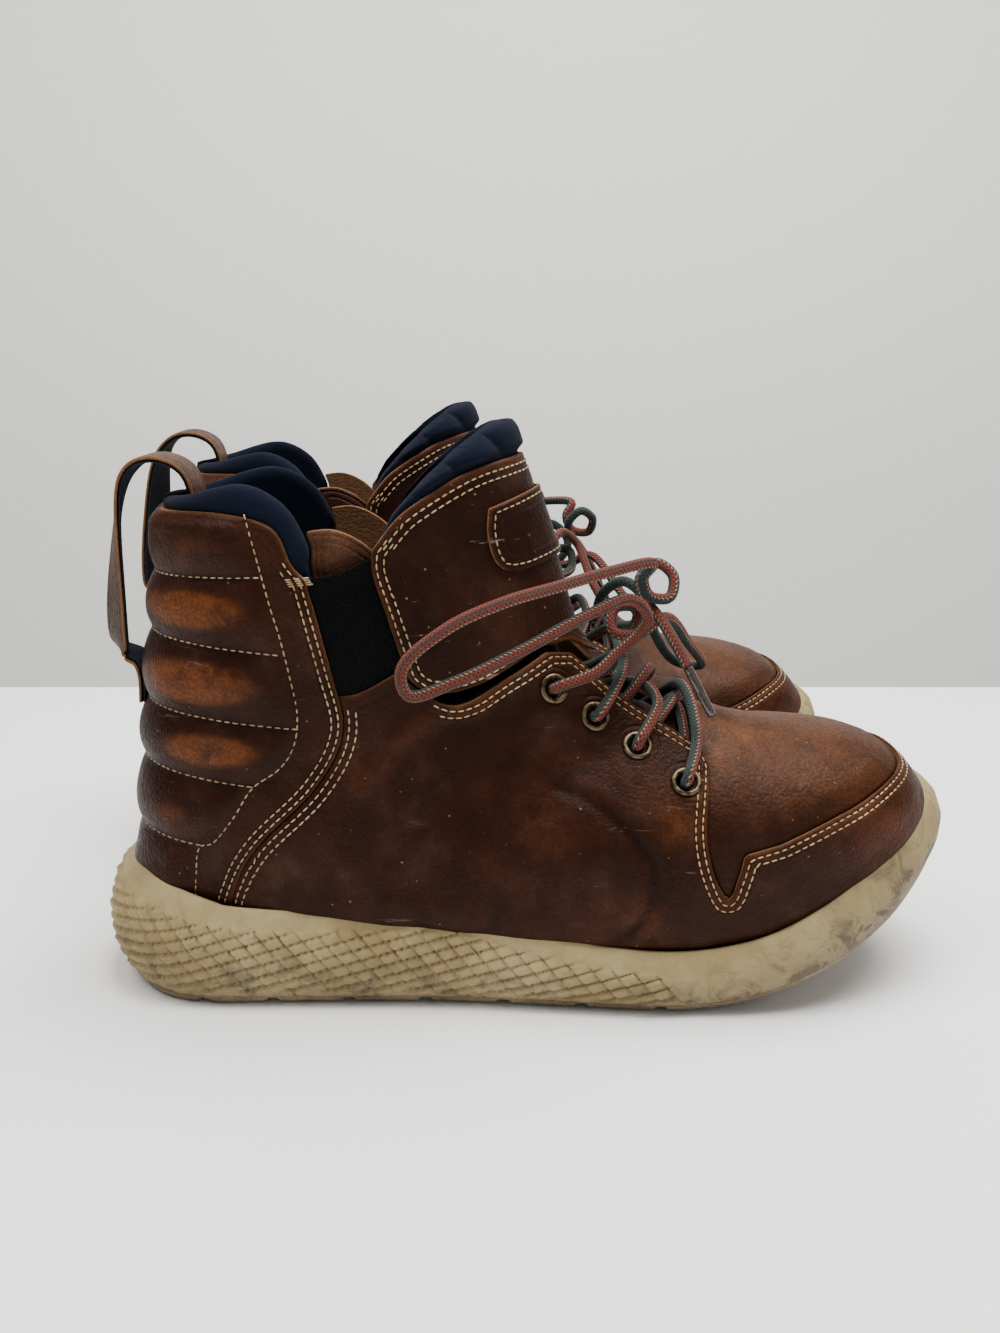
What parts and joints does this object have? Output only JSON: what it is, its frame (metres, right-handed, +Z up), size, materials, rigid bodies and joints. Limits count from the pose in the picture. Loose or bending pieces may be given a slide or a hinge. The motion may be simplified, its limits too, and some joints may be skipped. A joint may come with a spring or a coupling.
{
  "type": "deck boots",
  "caption": "Pair of lace-up ankle deck boots with cream cup soles, leather uppers, elastic gores, tongue cuffs that tip forward and heel pull loops.",
  "frame": {"origin": "on the ground under the middle of the pair's outline, the laces left out", "axes": "+X to the toes, +Y from the right boot to the left boot, +Z up"},
  "size_m": [0.332, 0.2513, 0.2034],
  "materials": {
    "upper_leather": "oiled pull-up leather, soft sheen",
    "cuff_leather": "dark oiled leather, soft sheen",
    "cream_foam": "matt yellowed foam",
    "tread_rubber": "matt worn rubber",
    "board": "matt fibre board",
    "navy_textile": "matt mesh textile",
    "black_elastic": "matt ribbed elastic",
    "antique_brass": "antique, satin",
    "lace_cord": "braided round cord, rust red and teal",
    "aglet_plastic": "clear-coated dark plastic"
  },
  "bodies": {
    "right_boot": {"right_outsole": "tread_rubber", "right_midsole": "cream_foam", "right_insole_board": "board", "right_vamp": "upper_leather", "right_quarter_wrap": "upper_leather", "right_heel_panel": "upper_leather", "right_foot_lining": "navy_textile", "right_collar_lining": "navy_textile", "right_gore_lateral": "black_elastic", "right_gore_medial": "black_elastic", "right_ankle_flap_lateral": "cuff_leather", "right_ankle_flap_medial": "cuff_leather", "right_tongue_gusset": "cuff_leather", "right_pull_loop": "upper_leather", "right_eyelet_lateral_1": "antique_brass", "right_eyelet_lateral_2": "antique_brass", "right_eyelet_lateral_3": "antique_brass", "right_eyelet_lateral_4": "antique_brass", "right_eyelet_medial_1": "antique_brass", "right_eyelet_medial_2": "antique_brass", "right_eyelet_medial_3": "antique_brass", "right_eyelet_medial_4": "antique_brass", "right_lace": "lace_cord", "right_aglet_1": "aglet_plastic", "right_aglet_2": "aglet_plastic"},
    "right_tongue": {"right_tongue_cuff": "cuff_leather", "right_tongue_lining": "navy_textile", "right_tongue_patch": "cuff_leather"},
    "right_footbed": {"right_footbed": "navy_textile"},
    "left_boot": {"left_outsole": "tread_rubber", "left_midsole": "cream_foam", "left_insole_board": "board", "left_vamp": "upper_leather", "left_quarter_wrap": "upper_leather", "left_heel_panel": "upper_leather", "left_foot_lining": "navy_textile", "left_collar_lining": "navy_textile", "left_gore_lateral": "black_elastic", "left_gore_medial": "black_elastic", "left_ankle_flap_lateral": "cuff_leather", "left_ankle_flap_medial": "cuff_leather", "left_tongue_gusset": "cuff_leather", "left_pull_loop": "upper_leather", "left_eyelet_lateral_1": "antique_brass", "left_eyelet_lateral_2": "antique_brass", "left_eyelet_lateral_3": "antique_brass", "left_eyelet_lateral_4": "antique_brass", "left_eyelet_medial_1": "antique_brass", "left_eyelet_medial_2": "antique_brass", "left_eyelet_medial_3": "antique_brass", "left_eyelet_medial_4": "antique_brass", "left_lace": "lace_cord", "left_aglet_1": "aglet_plastic", "left_aglet_2": "aglet_plastic"},
    "left_tongue": {"left_tongue_cuff": "cuff_leather", "left_tongue_lining": "navy_textile", "left_tongue_patch": "cuff_leather"},
    "left_footbed": {"left_footbed": "navy_textile"}
  },
  "joints": [
    {"name": "right_tongue_tip", "type": "hinge", "parent": "right_boot", "child": "right_tongue", "pos_m": [0.037, -0.06521, 0.117], "axis": [0, 1, 0], "range_deg": [0, 12], "stiffness_Nm_per_rad": 0.6, "deforming": ["right_gore_lateral", "right_gore_medial"]},
    {"name": "right_footbed_lift", "type": "hinge", "parent": "right_boot", "child": "right_footbed", "pos_m": [0.14, -0.06321, 0.055], "axis": [0, 1, 0], "range_deg": [0, 6]},
    {"name": "left_tongue_tip", "type": "hinge", "parent": "left_boot", "child": "left_tongue", "pos_m": [0.01955, 0.06226, 0.117], "axis": [-0.0698, 0.9976, 0], "range_deg": [0, 12], "stiffness_Nm_per_rad": 0.6, "deforming": ["left_gore_lateral", "left_gore_medial"]},
    {"name": "left_footbed_lift", "type": "hinge", "parent": "left_boot", "child": "left_footbed", "pos_m": [0.12244, 0.06745, 0.055], "axis": [-0.0698, 0.9976, 0], "range_deg": [0, 6]},
    {"name": "boots_apart", "type": "slide", "parent": "right_boot", "child": "left_boot", "axis": [0, 1, 0], "range_m": [0, 0.12]}
  ]
}
